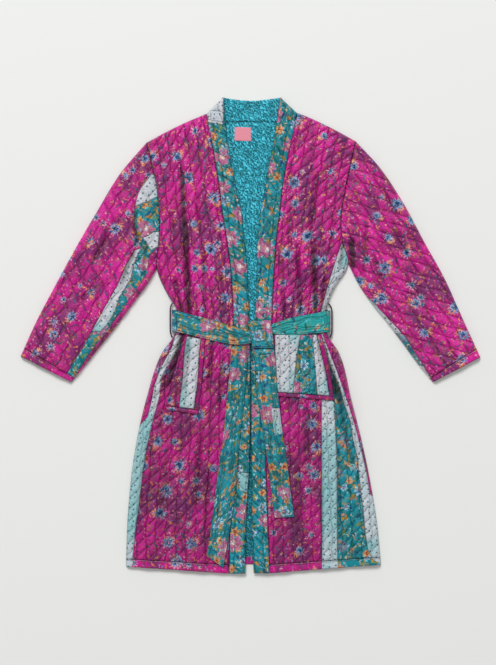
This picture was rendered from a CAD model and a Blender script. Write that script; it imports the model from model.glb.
"""Quilted patchwork silk coat, laid flat on its back with its belt tied, dressed over its solids."""
import math
import bpy
import numpy as np
from bpy.props import FloatProperty, FloatVectorProperty, PointerProperty
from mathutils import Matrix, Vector


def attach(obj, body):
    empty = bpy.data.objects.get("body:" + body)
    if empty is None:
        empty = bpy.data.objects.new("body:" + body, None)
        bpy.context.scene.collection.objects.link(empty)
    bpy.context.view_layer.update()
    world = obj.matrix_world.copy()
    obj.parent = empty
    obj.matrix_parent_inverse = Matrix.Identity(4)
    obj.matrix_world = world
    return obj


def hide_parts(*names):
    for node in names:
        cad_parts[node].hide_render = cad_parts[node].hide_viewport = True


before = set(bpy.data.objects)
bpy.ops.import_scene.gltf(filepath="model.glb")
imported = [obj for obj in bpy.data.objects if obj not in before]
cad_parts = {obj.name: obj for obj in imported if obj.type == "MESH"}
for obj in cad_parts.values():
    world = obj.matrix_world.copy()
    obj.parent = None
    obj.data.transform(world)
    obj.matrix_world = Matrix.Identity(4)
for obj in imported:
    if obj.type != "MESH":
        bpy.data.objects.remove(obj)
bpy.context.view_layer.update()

bl_info = {
    "name": "Quilted Patchwork Coat",
    "version": (1, 0, 0),
    "blender": (4, 5, 0),
    "location": "View3D > Sidebar > Coat",
    "description": "Makes the cloth of a quilted silk coat round its solids",
    "category": "Add Mesh",
}

# Sizes shared with the solids, in metres
WALL = 0.003
GAP = 0.0003
SEAM = 0.0006
AIR = 0.0018
CLEAR = 0.0015
EDGE_RADIUS = 0.008
BACK_INSET = 0.0115
STATIONS = 401
SLEEVE_LOFT = 0.0012
SLEEVE_INSET = 0.0042
HEM_BIND = 0.017
CUFF_BIND = 0.015
POCKET_BIND = 0.009
BELT_Y = 0.032
BELT_HALF = 0.0235
BELT_FLAT = 0.022
BELT_RAMP = 0.045
BELT_THICK = 0.0042
TAIL_THICK = 0.0038
LABEL_THICK = 0.0006
LOOP_THICK = 0.0030
KNOT_RISE = 0.0052
KNOT_LOW = -0.150
KNOT_DROP = 0.050
LAYER = 2.0 * WALL + AIR
LIFT = WALL + GAP
SEAM_ROUND = 0.0035
SEAM_SHARE = 0.45
SHOULDER_BOW = 0.0035
NECK_RISE = 0.0070
# Turned edge of a pocket's binding, and the neck band's lap over the back below a height in plan
TURNED = 0.0012
NECK_LAP = 0.0014
NECK_LAP_Y = 0.4770
# Points along a belt loop and round it
LOOP_STEPS = 61
LOOP_SIDES = 12
# Sleeves' stitch lines stand wider apart by this factor
SLEEVE_WIDE = 1.3
# Millimetres in a metre, and how far a print wanders in millimetres for a full swing of its noise
MM = 1000.0
WARP = 12.0
# Half the soft edge between two silks, and the signed distance that stands for a piece without patches
PATCH_EDGE = 0.0002
NO_PATCH = 0.2
# The photo's scale in metres a pixel and its height in pixels, the camera's height and sensor in millimetres
PIXEL = 0.0022
PHOTO_HEIGHT = 665
CAMERA_HEIGHT = 3.2
SENSOR = 36.0
FLOOR_REACH = 6.0
FLOOR_DROP = 0.0004
SIDES = ("left", "right", "bottom", "top")
MATERIALS = {"patchwork": "printed_silk_patchwork", "binding": "silk_binding", "belt": "printed_silk_belt",
             "lining": "wavy_quilted_lining", "label": "pink_woven_patch", "thread": "twisted_dark_thread"}

# Front bands, hem to neck: outer edge at the front's seam, inner edge at the opening
BAND_LEFT = (
    ("hem", -0.0466, -0.5236, -0.0114, -0.5236),
    ("skirt_low", -0.0444, -0.4114, -0.0099, -0.4114),
    ("skirt_mid", -0.0385, -0.2794, -0.0022, -0.2794),
    ("hip", -0.0363, -0.1452, -0.0012, -0.1452),
    ("gather", -0.0374, -0.0374, -0.0012, -0.0374),
    ("belt", -0.0372, 0.0242, -0.0022, 0.0242),
    ("ribs", -0.0385, 0.0814, -0.0045, 0.0814),
    ("chest", -0.0433, 0.1474, -0.0077, 0.1474),
    ("bust", -0.0506, 0.2024, -0.0132, 0.2024),
    ("v_mid", -0.0605, 0.2640, -0.0196, 0.2640),
    ("v_high", -0.0686, 0.3278, -0.0330, 0.3322),
    ("collar", -0.0792, 0.3938, -0.0462, 0.4026),
    ("neck", -0.0906, 0.4530, -0.0545, 0.4642),
    ("fold", -0.0975, 0.4850, -0.0590, 0.5230),
)
BAND_RIGHT = (
    ("hem", 0.0418, -0.5227, 0.0068, -0.5227),
    ("skirt_low", 0.0374, -0.4114, 0.0033, -0.4114),
    ("skirt_mid", 0.0330, -0.2794, 0.0016, -0.2794),
    ("hip", 0.0341, -0.1452, 0.0014, -0.1452),
    ("gather", 0.0396, -0.0374, 0.0029, -0.0374),
    ("belt", 0.0462, 0.0242, 0.0088, 0.0242),
    ("ribs", 0.0480, 0.0858, 0.0121, 0.0814),
    ("chest", 0.0524, 0.1606, 0.0134, 0.1474),
    ("bust", 0.0557, 0.2068, 0.0150, 0.2024),
    ("v_mid", 0.0627, 0.2640, 0.0213, 0.2640),
    ("v_high", 0.0700, 0.3278, 0.0341, 0.3322),
    ("collar", 0.0818, 0.3938, 0.0462, 0.4026),
    ("neck", 0.0964, 0.4554, 0.0572, 0.4686),
    ("fold", 0.1041, 0.4866, 0.0653, 0.5230),
)
# Fronts, hem to shoulder: side edge, height of the band seam, flat width over laid width
FRONT_LEFT = (
    ("hem", -0.2739, -0.5082, -0.5236, 1.00),
    ("skirt_low", -0.2706, -0.4070, -0.4114, 1.00),
    ("skirt_mid", -0.2574, -0.2750, -0.2794, 1.02),
    ("hip", -0.2299, -0.1430, -0.1452, 1.06),
    ("gather", -0.1936, -0.0374, -0.0374, 1.16),
    ("belt_low", -0.1655, 0.0040, 0.0030, 1.27),
    ("belt", -0.1600, 0.0300, 0.0280, 1.30),
    ("belt_high", -0.1635, 0.0580, 0.0550, 1.24),
    ("ribs", -0.1804, 0.0858, 0.0814, 1.14),
    ("armpit", -0.2057, 0.1452, 0.1474, 1.03),
    ("armhole_low", -0.2013, 0.1980, 0.2024, 1.00),
    ("armhole_mid", -0.1991, 0.2640, 0.2640, 1.00),
    ("armhole_high", -0.2046, 0.3234, 0.3278, 1.00),
    ("blade", -0.2156, 0.3762, 0.3938, 1.00),
    ("shoulder", -0.2277, 0.4235, 0.4796, 1.00),
)
FRONT_RIGHT = (
    ("hem", 0.2871, -0.5038, -0.5227, 1.00),
    ("skirt_low", 0.2772, -0.4070, -0.4114, 1.00),
    ("skirt_mid", 0.2541, -0.2750, -0.2794, 1.02),
    ("hip", 0.2222, -0.1430, -0.1452, 1.06),
    ("gather", 0.1936, -0.0374, -0.0374, 1.16),
    ("belt_low", 0.1685, 0.0030, 0.0030, 1.27),
    ("belt", 0.1625, 0.0290, 0.0280, 1.30),
    ("belt_high", 0.1655, 0.0570, 0.0550, 1.24),
    ("ribs", 0.1793, 0.0946, 0.0858, 1.14),
    ("armpit", 0.2145, 0.1562, 0.1562, 1.03),
    ("armhole_low", 0.2010, 0.2068, 0.2068, 1.00),
    ("armhole_mid", 0.1980, 0.2618, 0.2640, 1.00),
    ("armhole_high", 0.2068, 0.3190, 0.3278, 1.00),
    ("blade", 0.2189, 0.3762, 0.3938, 1.00),
    ("shoulder", 0.2299, 0.4268, 0.4818, 1.00),
)
ARMPIT_ROW = 9
BACK_HEM_Y = -0.5060
BACK_NECK_Y = 0.4696
BACK_NECK_X = 0.0720
NECK_BAND = (
    ("left", -0.0590, 0.4678, -0.0625, 0.5222),
    ("left_mid", -0.0290, 0.4684, -0.0300, 0.5172),
    ("middle", 0.0020, 0.4690, 0.0020, 0.5150),
    ("right_mid", 0.0320, 0.4684, 0.0340, 0.5174),
    ("right", 0.0610, 0.4678, 0.0682, 0.5222),
)
SLEEVE_LEFT = (
    ("armhole", -0.2277, 0.4235, -0.2057, 0.1452),
    ("bicep", -0.2849, 0.3564, -0.2255, 0.1122),
    ("upper", -0.3377, 0.2706, -0.2563, 0.0704),
    ("elbow", -0.3850, 0.1892, -0.2937, 0.0198),
    ("lower", -0.4323, 0.1023, -0.3289, -0.0242),
    ("wrist", -0.4719, 0.0264, -0.3619, -0.0660),
    ("cuff", -0.5049, -0.0462, -0.3927, -0.1034),
)
SLEEVE_RIGHT = (
    ("armhole", 0.2299, 0.4268, 0.2145, 0.1562),
    ("bicep", 0.2827, 0.3696, 0.2350, 0.1150),
    ("upper", 0.3355, 0.2904, 0.2651, 0.0704),
    ("elbow", 0.3817, 0.2046, 0.3003, 0.0264),
    ("lower", 0.4257, 0.1254, 0.3355, -0.0198),
    ("wrist", 0.4675, 0.0330, 0.3685, -0.0649),
    ("cuff", 0.5049, -0.0484, 0.4004, -0.1034),
)
POCKET_LEFT = (
    ("bottom", -0.1145, -0.1740, -0.1860, -0.1640),
    ("middle", -0.1065, -0.0990, -0.1720, -0.0960),
    ("opening", -0.1000, -0.0100, -0.1430, -0.0020),
)
POCKET_RIGHT = (
    ("bottom", 0.0560, -0.1340, 0.1840, -0.1440),
    ("middle", 0.0540, -0.0760, 0.1740, -0.0800),
    ("opening", 0.0530, 0.0010, 0.1540, 0.0010),
)
BELT_LEFT = (
    ("side", -0.1730, 0.0560, -0.1730, 0.0090),
    ("seam", -0.1185, 0.0420, -0.1300, -0.0010),
    ("pocket", -0.0810, 0.0325, -0.0980, -0.0090),
    ("band", -0.0440, 0.0215, -0.0340, -0.0215),
    ("knot", 0.0120, 0.0090, 0.0120, -0.0170),
)
BELT_RIGHT = (
    ("side", 0.1755, 0.0545, 0.1755, 0.0070),
    ("seam", 0.1330, 0.0465, 0.1330, 0.0020),
    ("pocket", 0.0850, 0.0370, 0.0850, -0.0005),
    ("beside", 0.0530, 0.0262, 0.0530, 0.0020),
    ("knot", 0.0330, 0.0200, 0.0330, 0.0040),
)
KNOT = (
    ("top", -0.0070, 0.0305, 0.0440, 0.0335),
    ("turn", -0.0030, 0.0120, 0.0475, 0.0120),
    ("low", 0.0035, -0.0290, 0.0520, -0.0290),
)
TAIL_RIGHT = (
    ("knot", 0.0036, -0.0300, 0.0521, -0.0300),
    ("belly", 0.0110, -0.0660, 0.0555, -0.0660),
    ("hip", 0.0121, -0.1078, 0.0583, -0.1078),
    ("pocket", 0.0190, -0.1551, 0.0634, -0.1551),
    ("mid", 0.0264, -0.2112, 0.0702, -0.2112),
    ("low", 0.0376, -0.2785, 0.0803, -0.2785),
    ("end", 0.0460, -0.3516, 0.0900, -0.3516),
    ("tip", 0.0530, -0.4010, 0.0966, -0.3990),
)
TAIL_LEFT = (
    ("knot", -0.0430, -0.0240, -0.0100, -0.0240),
    ("belly", -0.0447, -0.0660, -0.0070, -0.0660),
    ("hip", -0.0482, -0.1019, -0.0101, -0.1019),
    ("pocket", -0.0540, -0.1551, -0.0145, -0.1551),
    ("mid", -0.0605, -0.2253, -0.0213, -0.2112),
    ("low", -0.0691, -0.2814, -0.0270, -0.2680),
    ("end", -0.0829, -0.3936, -0.0340, -0.3516),
    ("tip", -0.0970, -0.4833, -0.0590, -0.5115),
)
LABEL = (
    ("low", -0.0352, 0.4275, 0.0012, 0.4262),
    ("high", -0.0346, 0.4570, 0.0008, 0.4560),
)
# Belt loops: their top, the reach outside the belt, their bottom
LOOPS = (
    ("left", 0.0700, -0.1745, -0.0050),
    ("right", 0.0690, 0.1770, -0.0060),
)
# Soft folds and creases of each panel: ridge's two ends, half width, height (a trough is negative)
FOLDS = {
    "front_left": (
        (-0.184, 0.230, -0.150, 0.078, 0.026, 0.0070),
        (-0.122, 0.350, -0.120, 0.078, 0.030, 0.0055),
        (-0.084, 0.260, -0.072, 0.075, 0.024, 0.0035),
        (-0.177, -0.020, -0.216, -0.145, 0.021, 0.0085),
        (-0.079, -0.060, -0.100, -0.300, 0.028, 0.0026),
        (-0.226, -0.209, -0.246, -0.470, 0.024, 0.0045),
        (-0.133, -0.250, -0.155, -0.470, 0.032, 0.0030),
    ),
    "front_right": (
        (0.193, 0.170, 0.150, 0.078, 0.024, 0.0065),
        (0.113, 0.350, 0.122, 0.078, 0.030, 0.0050),
        (0.080, 0.260, 0.084, 0.075, 0.022, 0.0030),
        (0.174, -0.022, 0.231, -0.205, 0.022, 0.0085),
        (0.214, -0.275, 0.250, -0.470, 0.024, 0.0045),
        (0.128, -0.230, 0.142, -0.470, 0.032, 0.0030),
    ),
    "sleeve_left": (
        (-0.252, 0.240, -0.282, 0.110, 0.026, 0.0050),
        (-0.318, 0.280, -0.372, 0.140, 0.030, 0.0035),
        (-0.352, 0.080, -0.410, 0.010, 0.026, 0.0030),
    ),
    "sleeve_right": (
        (0.262, 0.250, 0.290, 0.110, 0.026, 0.0050),
        (0.322, 0.285, 0.375, 0.140, 0.030, 0.0035),
        (0.360, 0.080, 0.412, 0.010, 0.026, 0.0030),
    ),
}
CREASES = {
    "front_left": (
        (-0.153, 0.400, -0.142, 0.170, 0.0100, -0.0095),
        (-0.144, 0.250, -0.134, 0.020, 0.0100, -0.0125),
        (-0.131, 0.200, -0.119, 0.030, 0.0075, 0.0030),
        (-0.176, 0.300, -0.158, 0.150, 0.0085, -0.0032),
        (-0.104, 0.200, -0.098, 0.020, 0.0080, -0.0055),
        (-0.168, 0.135, -0.146, 0.030, 0.0075, -0.0060),
        (-0.118, 0.330, -0.113, 0.210, 0.0080, -0.0030),
        (-0.064, 0.150, -0.056, 0.020, 0.0065, -0.0045),
        (-0.136, 0.045, -0.186, -0.130, 0.0105, -0.0120),
        (-0.122, 0.030, -0.146, -0.090, 0.0075, -0.0060),
        (-0.080, 0.030, -0.096, -0.150, 0.0080, -0.0050),
        (-0.057, 0.020, -0.068, -0.180, 0.0065, -0.0045),
        (-0.108, -0.190, -0.124, -0.400, 0.0110, -0.0040),
        (-0.180, -0.215, -0.206, -0.470, 0.0120, -0.0042),
        (-0.088, -0.260, -0.102, -0.480, 0.0100, -0.0030),
        (-0.221, -0.190, -0.250, -0.440, 0.0080, -0.0030),
    ),
    "front_right": (
        (0.090, 0.400, 0.084, 0.170, 0.0085, -0.0045),
        (0.147, 0.370, 0.128, 0.200, 0.0100, -0.0040),
        (0.137, 0.230, 0.143, 0.020, 0.0090, -0.0110),
        (0.126, 0.190, 0.128, 0.030, 0.0070, 0.0028),
        (0.102, 0.210, 0.110, 0.020, 0.0080, -0.0062),
        (0.166, 0.140, 0.150, 0.030, 0.0075, -0.0055),
        (0.067, 0.170, 0.076, 0.020, 0.0065, -0.0045),
        (0.186, 0.270, 0.172, 0.160, 0.0080, -0.0030),
        (0.128, 0.050, 0.208, -0.178, 0.0115, -0.0130),
        (0.191, -0.130, 0.226, -0.300, 0.0080, -0.0055),
        (0.090, 0.030, 0.100, -0.130, 0.0070, -0.0045),
        (0.120, -0.150, 0.124, -0.330, 0.0095, -0.0032),
        (0.100, -0.260, 0.104, -0.480, 0.0110, -0.0038),
        (0.158, -0.200, 0.157, -0.500, 0.0060, -0.0026),
        (0.192, -0.260, 0.196, -0.500, 0.0090, -0.0036),
        (0.203, 0.215, 0.196, 0.140, 0.0090, -0.0060),
    ),
    "sleeve_left": (
        (-0.258, 0.290, -0.247, 0.180, 0.0085, -0.0060),
        (-0.247, 0.200, -0.290, 0.100, 0.0085, -0.0055),
        (-0.226, 0.220, -0.236, 0.110, 0.0070, -0.0035),
        (-0.300, 0.250, -0.345, 0.150, 0.0100, -0.0028),
        (-0.330, 0.110, -0.382, 0.070, 0.0090, -0.0030),
    ),
    "sleeve_right": (
        (0.221, 0.222, 0.226, 0.136, 0.0095, -0.0150),
        (0.241, 0.225, 0.243, 0.120, 0.0080, 0.0040),
        (0.255, 0.270, 0.252, 0.130, 0.0070, -0.0045),
        (0.262, 0.190, 0.296, 0.100, 0.0085, -0.0042),
        (0.305, 0.260, 0.350, 0.160, 0.0100, -0.0028),
        (0.340, 0.120, 0.392, 0.080, 0.0090, -0.0030),
        (0.282, 0.330, 0.330, 0.250, 0.0090, -0.0024),
    ),
    "pocket_left": (
        (-0.136, 0.010, -0.152, -0.140, 0.0130, -0.0040),
        (-0.168, 0.000, -0.186, -0.150, 0.0110, -0.0050),
    ),
    "pocket_right": (
        (0.142, 0.010, 0.176, -0.120, 0.0100, -0.0040),
    ),
}

# Slant of the second family of stitch lines: rise along the cloth for each metre across
SLANT = {
    "front_left": -1.0,
    "front_right": 1.0,
    "band_left": -0.9,
    "band_right": 0.9,
    "sleeve_left": 0.55,
    "sleeve_right": -1.1,
    "pocket_left": -1.0,
    "pocket_right": 1.0,
    "back": 1.0,
    "neck": 0.9,
}


class CoatSizes(bpy.types.PropertyGroup):
    """Sizes of the cloth that a user would change."""

    puff: FloatProperty(name="Puff", description="Rise of the padding between stitch lines",
                        default=0.0027, unit="LENGTH")
    across: FloatProperty(name="Quilting across", description="Distance between lengthwise stitch lines",
                          default=0.0215, unit="LENGTH")
    along: FloatProperty(name="Quilting along", description="Distance between slanted stitch lines",
                         default=0.026, unit="LENGTH")
    step: FloatProperty(name="Mesh step", description="Distance between the points of the cloth",
                        default=0.0028, unit="LENGTH")
    waver: FloatProperty(name="Waver", description="Height of the slow unevenness of the cloth",
                         default=0.0030, unit="LENGTH")


def srgb(text):
    """Linear colour of an sRGB hex value."""
    values = np.array([int(text[n:n + 2], 16) for n in (1, 3, 5)]) / 255.0
    linear = np.where(values <= 0.04045, values / 12.92, ((values + 0.055) / 1.055) ** 2.4)
    return (*[float(v) for v in linear], 1.0)


def colour_property(name, text, description):
    return FloatVectorProperty(name=name, description=description, subtype="COLOR", size=4,
                               min=0.0, max=1.0, default=srgb(text))


class CoatColours(bpy.types.PropertyGroup):
    """Colours of the cloths that a user would change."""

    magenta: colour_property("Magenta", "#C60A86", "Main ground of the printed silk")
    purple: colour_property("Purple", "#86266F", "Darker ground of the printed silk")
    bright: colour_property("Bright", "#DE1E9E", "Brightest ground of the printed silk")
    teal: colour_property("Teal", "#0093A6", "Ground of the band and belt silk")
    pale: colour_property("Pale", "#D2D5DC", "Ground of the dotted silk")
    lining: colour_property("Lining", "#1CBAD2", "Turquoise lining")
    label: colour_property("Label", "#EC93A4", "Plain neck label")


def smooth(knots, values, at):
    """Read a table smoothly: a cubic through its rows with slopes taken from the neighbours."""
    knots = np.asarray(knots, float)
    values = np.asarray(values, float)
    slopes = np.gradient(values, knots, axis=0)
    at = np.clip(at, knots[0], knots[-1])
    row = np.clip(np.searchsorted(knots, at, side="right") - 1, 0, len(knots) - 2)
    step = knots[row + 1] - knots[row]
    q = (at - knots[row]) / step
    if values.ndim > 1:
        step = step[:, None]
        q = q[:, None]
    start = (2.0 * q ** 3 - 3.0 * q ** 2 + 1.0) * values[row]
    start_slope = (q ** 3 - 2.0 * q ** 2 + q) * step * slopes[row]
    end = (3.0 * q ** 2 - 2.0 * q ** 3) * values[row + 1]
    end_slope = (q ** 3 - q ** 2) * step * slopes[row + 1]
    return start + start_slope + end + end_slope


def ease(q):
    """Smooth step: 3q^2 - 2q^3, held between 0 and 1."""
    q = np.clip(q, 0.0, 1.0)
    return q * q * (3.0 - 2.0 * q)


class Pattern:
    """A flat pattern piece between two long edges, each read at the same stations.

    U runs across from the first edge, V along the middle; both are metres of cloth.
    """

    def __init__(self, first, second, fullness=None):
        self.first = np.asarray(first, float)
        self.second = np.asarray(second, float)
        middle = (self.first + self.second) / 2.0
        self.v = np.concatenate(([0.0], np.cumsum(np.hypot(*np.diff(middle, axis=0).T))))
        self.length = self.v[-1]
        self.fullness = np.ones(len(self.v)) if fullness is None else fullness
        self.shift = None

    def edge(self, which, v):
        points = self.first if which == 0 else self.second
        return np.stack([np.interp(v, self.v, points[:, axis]) for axis in (0, 1)], axis=-1)

    def ratio(self, v):
        return np.interp(v, self.v, self.fullness)

    def width(self, v):
        across = self.edge(1, v) - self.edge(0, v)
        return np.hypot(across[..., 0], across[..., 1]) * self.ratio(v)

    def squareness(self, which, v):
        """Sine of the angle between the piece's cross direction and one of its long edges."""
        reach = 0.004
        along = self.edge(which, v + reach) - self.edge(which, v - reach)
        across = self.edge(1, v) - self.edge(0, v)
        turn = along[..., 0] * across[..., 1] - along[..., 1] * across[..., 0]
        size = np.hypot(along[..., 0], along[..., 1]) * np.hypot(across[..., 0], across[..., 1])
        return np.abs(turn) / np.maximum(size, 1e-9)

    def plan(self, u, v):
        """Plan = first edge + (second edge - first edge) * U / flat width, plus the piece's shift."""
        share = u / self.width(v)
        first = self.edge(0, v)
        points = first + (self.edge(1, v) - first) * share[..., None]
        if self.shift is not None:
            points = points + self.shift(share, v)
        return points

    def whole(self):
        """The box that takes in the whole piece."""
        return 0.0, 0.0, 0.0, self.length

    def area(self, box):
        """Flat area of the part of the piece inside a box (U margins, V from and to)."""
        v = np.linspace(box[2], box[3], 300)
        return float(np.mean(self.width(v) - box[0] - box[1]) * (box[3] - box[2]))

    def flat(self, box):
        """Flat width and length of the part of the piece inside a box."""
        v = np.linspace(box[2], box[3], 300)
        return float((self.width(v) - box[0] - box[1]).max()), float(box[3] - box[2])


def pattern_from_rows(rows):
    """Pattern of a table whose rows are name, first x, y, second x, y."""
    values = np.array([row[1:5] for row in rows])
    middle = (values[:, :2] + values[:, 2:]) / 2.0
    knots = np.concatenate(([0.0], np.cumsum(np.hypot(*np.diff(middle, axis=0).T))))
    read = smooth(knots, values, np.linspace(0.0, knots[-1], STATIONS))
    return Pattern(read[:, :2], read[:, 2:])


def front_pattern(rows, band, side):
    """Front panel: U from the band's seam, whose x is the band's own outer edge."""
    values = np.array([row[1:5] for row in rows])
    knots = np.concatenate(([0.0], np.cumsum(np.hypot(*np.diff(values[:, :2], axis=0).T))))
    places = np.linspace(0.0, knots[-1], STATIONS)
    read = smooth(knots, values, places)
    seam_x = np.interp(read[:, 2], band.first[:, 1], band.first[:, 0])
    seam = np.stack([seam_x + side * SEAM, read[:, 2]], axis=1)
    pattern = Pattern(seam, read[:, :2], read[:, 3])

    def shift(at, v):
        near = np.clip(1.0 - at, 0.0, 1.0)
        up = SHOULDER_BOW * np.sin(np.pi * near) + NECK_RISE * near ** 1.2
        up = up * ease(1.0 - (pattern.length - v) / 0.09)
        return np.stack([np.zeros_like(up), up], axis=-1)

    pattern.shift = shift
    pattern.armpit = pattern.v[int(np.searchsorted(places, knots[ARMPIT_ROW]))]
    return pattern


def sleeve_pattern(rows, front, side):
    """Sleeve: U from the top edge; its armhole end is bent to the front's armhole seam."""
    pattern = pattern_from_rows(rows)
    count = 200
    seam = front.edge(1, np.linspace(front.length, front.armpit, count))
    seam[:, 0] += side * SEAM
    share = np.linspace(0.0, 1.0, count)
    bow = seam - seam[:1] - (seam[-1:] - seam[:1]) * share[:, None]
    bow[:, 0] += side * SEAM * np.sin(np.pi * share)
    reach = 0.12

    def shift(at, v):
        fade = 1.0 - ease(v / reach)
        return np.stack([np.interp(at, share, bow[:, axis]) * fade for axis in (0, 1)], axis=-1)

    pattern.first[:, 0] += side * SEAM
    pattern.second[:, 0] += side * SEAM
    pattern.shift = shift
    pattern.seam = seam
    return pattern


def back_pattern(left, right):
    """Back: between the two side edges, kept inside the rolled edges of the fronts."""
    v_left = np.linspace(0.0, left.length, STATIONS)
    v_right = np.linspace(0.0, right.length, STATIONS)
    first = left.edge(1, v_left)
    second = right.edge(1, v_right)
    for edge, v, armpit, side in ((first, v_left, left.armpit, 1.0), (second, v_right, right.armpit, -1.0)):
        above = ease((v - armpit - 0.006) / 0.020)
        edge[:, 0] += side * (BACK_INSET - (BACK_INSET - 2.5 * SEAM) * above)
    pattern = Pattern(first, second)
    neck_left = (-BACK_NECK_X - first[-1, 0]) / (second[-1, 0] - first[-1, 0])
    neck_right = (BACK_NECK_X - first[-1, 0]) / (second[-1, 0] - first[-1, 0])
    rise = BACK_NECK_Y - (first[-1, 1] + second[-1, 1]) / 2.0 + BACK_INSET
    drop = first[0, 1] - BACK_HEM_Y

    def shift(at, v):
        up = np.interp(at, (0.0, neck_left, neck_right, 1.0), (0.0, rise, rise, 0.0))
        top = up * ease((v / pattern.length - 0.72) / 0.28)
        bottom = -drop * np.sin(np.pi * at) * (1.0 - ease(v / pattern.length / 0.2))
        return np.stack([np.zeros_like(top), top + bottom], axis=-1)

    pattern.shift = shift
    return pattern


def roll(d, radius=EDGE_RADIUS):
    """Share of the full height at a distance from a rolled edge: a quarter ellipse."""
    return np.sqrt(np.maximum(1.0 - (1.0 - np.clip(d / radius, 0.0, 1.0)) ** 2, 0.0))


def lift(points):
    """Height of the back over the belt's run beneath it."""
    beyond = np.abs(points[..., 1] - BELT_Y) - BELT_HALF - BELT_FLAT
    return LIFT * (1.0 - ease(beyond / BELT_RAMP))


def ridges(table, panel, points):
    """Sum of a panel's folds: height * cosine bell across, eased to nothing at both ends."""
    total = np.zeros(points.shape[:-1])
    for x0, y0, x1, y1, half_width, height in table.get(panel, ()):
        start = np.array([x0, y0])
        step = np.array([x1 - x0, y1 - y0])
        offset = points - start
        share = (offset @ step) / (step @ step)
        nearest = offset - np.clip(share, 0.0, 1.0)[..., None] * step
        across = np.minimum(np.hypot(nearest[..., 0], nearest[..., 1]) / half_width, 1.0)
        bell = 0.5 + 0.5 * np.cos(np.pi * across)
        total += height * bell * ease(share / 0.25) * ease((1.0 - share) / 0.25)
    return total


def waver(points, seed):
    """Slow unevenness between 0 and 1: a product of sines turned and stretched by the seed."""
    x, y = points[..., 0] * 1000.0, points[..., 1] * 1000.0
    a = np.sin(x / 17.0 + 1.3 * seed + 0.9 * np.sin(y / 41.0 + seed))
    b = np.sin(y / 31.0 + 2.1 * seed + 0.8 * np.sin(x / 23.0 - seed))
    c = np.sin((x + 0.6 * y) / 37.0 + 0.7 * seed)
    return 0.5 + (0.24 * a + 0.16 * b + 0.10 * c)


def signed(points, loop):
    """Signed distance in plan to a closed loop of straight steps, positive inside."""
    loop = np.asarray(loop, float)
    step = np.roll(loop, -1, axis=0) - loop
    nearest = np.full(points.shape[:-1], 1e9)
    crossings = np.zeros(points.shape[:-1], int)
    for (x0, y0), (dx, dy) in zip(loop, step):
        ox = points[..., 0] - x0
        oy = points[..., 1] - y0
        share = np.clip((ox * dx + oy * dy) / (dx * dx + dy * dy), 0.0, 1.0)
        nearest = np.minimum(nearest, np.hypot(ox - share * dx, oy - share * dy))
        spans = (oy < 0.0) != (oy - dy < 0.0)
        side = ox < oy * dx / (dy if abs(dy) > 1e-12 else 1e-12)
        crossings += spans & side
    return np.where(crossings % 2 == 1, nearest, -nearest)


def spread(count, near_start, near_end, length):
    """Shares from 0 to 1, closer together next to a rolled end."""
    share = np.linspace(0.0, 1.0, count + 1)
    extra = np.array([0.0, 0.02, 0.07, 0.16, 0.30, 0.50, 0.75, 1.0]) * EDGE_RADIUS * 1.3 / length
    if near_start:
        share = np.concatenate([extra, share[share > extra[-1] * 1.15]])
    if near_end:
        share = np.concatenate([share[share < 1.0 - extra[-1] * 1.15], 1.0 - extra[::-1]])
    return share


def quilt_height(a, b):
    """Padding between stitch lines: pinched sines, 0 on the lines and 1 in the middle of a cell."""
    return (np.abs(np.sin(np.pi * a)) ** 0.75) * (np.abs(np.sin(np.pi * b)) ** 0.85)


def stitch_lines(u, v, slant, wide=1.0):
    """Counts of the two families of stitch lines: straight counts plus two sines each, as sewn by hand."""
    sizes = bpy.context.scene.coat_sizes
    u, v = u / wide, v / wide
    a = u / sizes.across + 0.07 * np.sin(v / 0.013) + 0.05 * np.sin(v / 0.0052 + u / 0.004)
    b = (v - slant * u) / sizes.along
    b = b + 0.06 * np.sin(u / 0.0085 + 1.0) + 0.04 * np.sin(u / 0.0036 + v / 0.006)
    return a, b


def put_mesh(name, points, faces, corner_uv, corner_quilt, face_slots, materials, fields):
    """Put whole arrays into a mesh: points, quads, two UV maps, point attributes, material slots."""
    volume = points[faces]
    a, b, c, d = (volume[:, n] for n in range(4))
    signed_volume = np.einsum("ij,ij->", a, np.cross(b, c)) + np.einsum("ij,ij->", a, np.cross(c, d))
    if signed_volume < 0.0:
        faces = faces[:, ::-1]
        corner_uv = corner_uv[:, ::-1]
        corner_quilt = corner_quilt[:, ::-1]
    mesh = bpy.data.meshes.new(name)
    mesh.vertices.add(len(points))
    mesh.vertices.foreach_set("co", points.astype(np.float32).ravel())
    mesh.loops.add(faces.size)
    mesh.loops.foreach_set("vertex_index", faces.astype(np.int32).ravel())
    mesh.polygons.add(len(faces))
    mesh.polygons.foreach_set("loop_start", np.arange(0, faces.size, 4, dtype=np.int32))
    mesh.polygons.foreach_set("material_index", face_slots.astype(np.int32))
    mesh.update(calc_edges=True)
    for layer, values in (("cloth", corner_uv), ("quilt", corner_quilt)):
        uv = mesh.uv_layers.new(name=layer)
        uv.uv.foreach_set("vector", values.reshape(-1, 2).astype(np.float32).ravel())
    for field, values in fields.items():
        attribute = mesh.attributes.new(field, "FLOAT", "POINT")
        attribute.data.foreach_set("value", values.astype(np.float32).ravel())
    for material in materials:
        mesh.materials.append(material)
    mesh.shade_smooth()
    mesh.set_sharp_from_angle(angle=1.0)
    mesh.validate()
    return placed(name, mesh)


def placed(name, data):
    """Put new data into the scene as an object."""
    item = bpy.data.objects.new(name, data)
    bpy.context.scene.collection.objects.link(item)
    return item


def quads(rows, cols):
    """Corner numbers of the quads of a grid of rows by cols points."""
    index = np.arange(rows * cols).reshape(rows, cols)
    return np.stack([index[:-1, :-1], index[:-1, 1:], index[1:, 1:], index[1:, :-1]], -1).reshape(-1, 4)


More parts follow.
